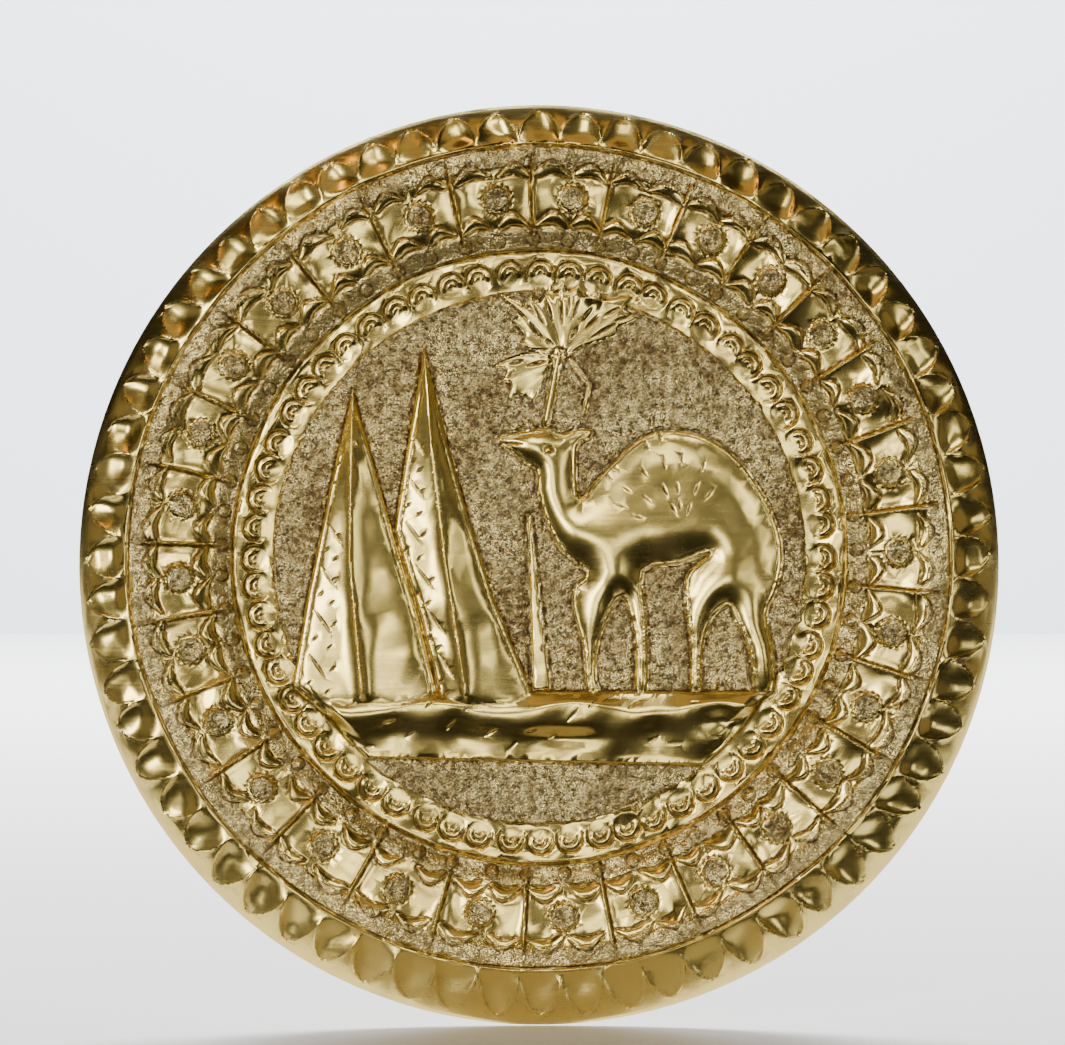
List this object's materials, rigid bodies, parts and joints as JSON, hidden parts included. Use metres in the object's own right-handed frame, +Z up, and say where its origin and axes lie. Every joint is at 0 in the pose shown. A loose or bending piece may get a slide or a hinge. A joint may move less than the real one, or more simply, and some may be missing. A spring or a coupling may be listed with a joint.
{
  "type": "embossed decorative wall plate",
  "caption": "Round embossed metal wall plate with a fluted rim, a border of panels and rosettes, a ring of hooked bosses and a raised scene of a camel, pyramids, a palm and the ground.",
  "frame": {"origin": "centre of the rim, in the plane of the flat back of the plate's middle, which rests on the wall", "axes": "+Y out of the back into the wall, so the raised front looks along -Y; +X to the right of the picture as seen from the front; +Z up the picture"},
  "size_m": [0.3, 0.0113, 0.3],
  "materials": {
    "patinated_brass": "hand-polished embossed sheet, olive gold, with dark brown patina left in the stippled ground and the hollows"
  },
  "bodies": {
    "root": {"plate": "patinated_brass"}
  },
  "joints": []
}
